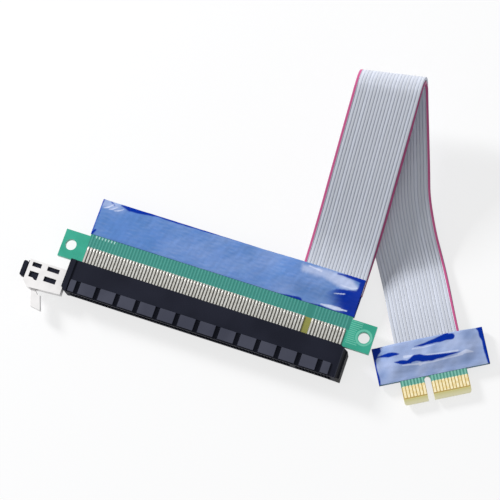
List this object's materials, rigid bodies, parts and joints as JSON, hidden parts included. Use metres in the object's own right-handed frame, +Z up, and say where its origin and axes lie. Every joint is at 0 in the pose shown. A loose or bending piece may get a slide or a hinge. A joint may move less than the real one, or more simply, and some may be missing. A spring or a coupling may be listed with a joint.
{
  "type": "pcie riser card",
  "caption": "Flexible riser: a long card slot with latch on its board, joined by two stacked ribbon cables to a small plug-in edge board.",
  "frame": {"origin": "middle of the card slot's mouth, on the mating face, at the slot's mid-plane", "axes": "+X along the slot towards the short contact group, +Y from the mouth towards the ribbons, +Z up, away from the surface it lies on"},
  "size_m": [0.1449, 0.1029, 0.0222],
  "materials": {
    "black_plastic": "matte",
    "white_plastic": "satin",
    "green_board": "satin",
    "tinned": "satin",
    "gold": "polished",
    "copper": "satin",
    "blue_tape": "glossy",
    "grey_ribbon": "satin",
    "steel": "satin"
  },
  "bodies": {
    "riser": {"slot_housing": "black_plastic", "contacts_upper": "tinned", "contacts_lower": "tinned", "long_board": "green_board", "tape_long": "blue_tape", "wires_long_upper": "copper", "wires_long_lower": "copper", "ribbon_upper": "grey_ribbon", "ribbon_lower": "grey_ribbon", "plug_board": "green_board", "fingers_upper": "gold", "fingers_lower": "gold", "wires_plug_upper": "copper", "wires_plug_lower": "copper", "tape_plug": "blue_tape", "latch_frame": "white_plastic", "latch_rail": "black_plastic", "latch_pin": "steel"},
    "lever": {"latch_lever": "white_plastic"}
  },
  "joints": [
    {"name": "latch_hinge", "type": "hinge", "parent": "riser", "child": "lever", "pos_m": [-0.0543, -0.0009, 0], "axis": [0, 0, 1], "range_deg": [-40, 6]}
  ]
}
